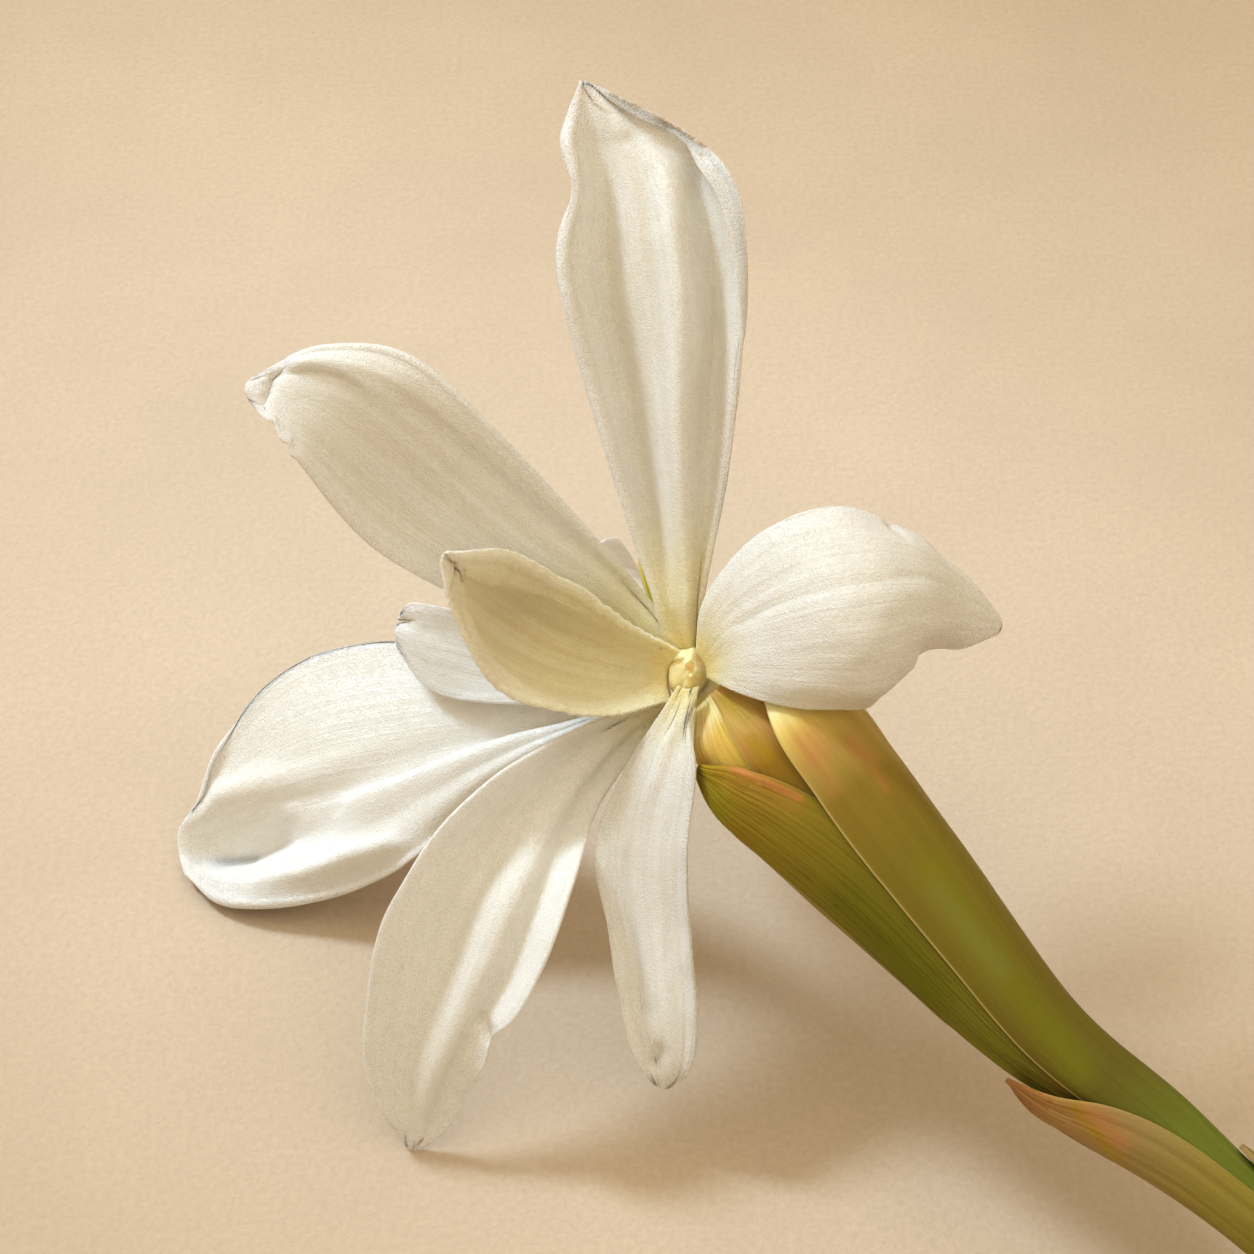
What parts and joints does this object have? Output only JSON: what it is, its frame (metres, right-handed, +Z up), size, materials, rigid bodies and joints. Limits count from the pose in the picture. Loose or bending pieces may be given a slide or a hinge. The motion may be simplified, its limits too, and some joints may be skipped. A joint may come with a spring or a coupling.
{
  "type": "ginger flower",
  "caption": "Cut white ginger flower lying on its side, with open petals round a small throat, a sheath of overlapping bracts and a short cut stem.",
  "frame": {"origin": "middle of the flower's outline, on the surface that it lies on", "axes": "+Z up from the surface; the bloom faces up and towards -Y; the stem runs down towards +X and -Y"},
  "size_m": [0.125, 0.1062, 0.07],
  "materials": {
    "petal": "satin",
    "throat": "satin",
    "inner_bract": "satin",
    "outer_bract": "satin",
    "stem": "satin"
  },
  "bodies": {
    "root": {"upper_petal": "petal", "upper_left_petal": "petal", "hooded_petal": "petal", "small_left_petal": "petal", "left_petal": "petal", "lower_left_petal": "petal", "lower_petal": "petal", "right_petal": "petal", "rear_petal": "petal", "throat": "throat", "rear_bract": "inner_bract", "pale_inner_bract": "inner_bract", "green_inner_bract": "inner_bract", "underside_bract": "outer_bract", "left_outer_bract": "outer_bract", "right_outer_bract": "outer_bract", "lower_bract": "outer_bract", "upper_bract": "outer_bract", "stem": "stem"}
  },
  "joints": []
}
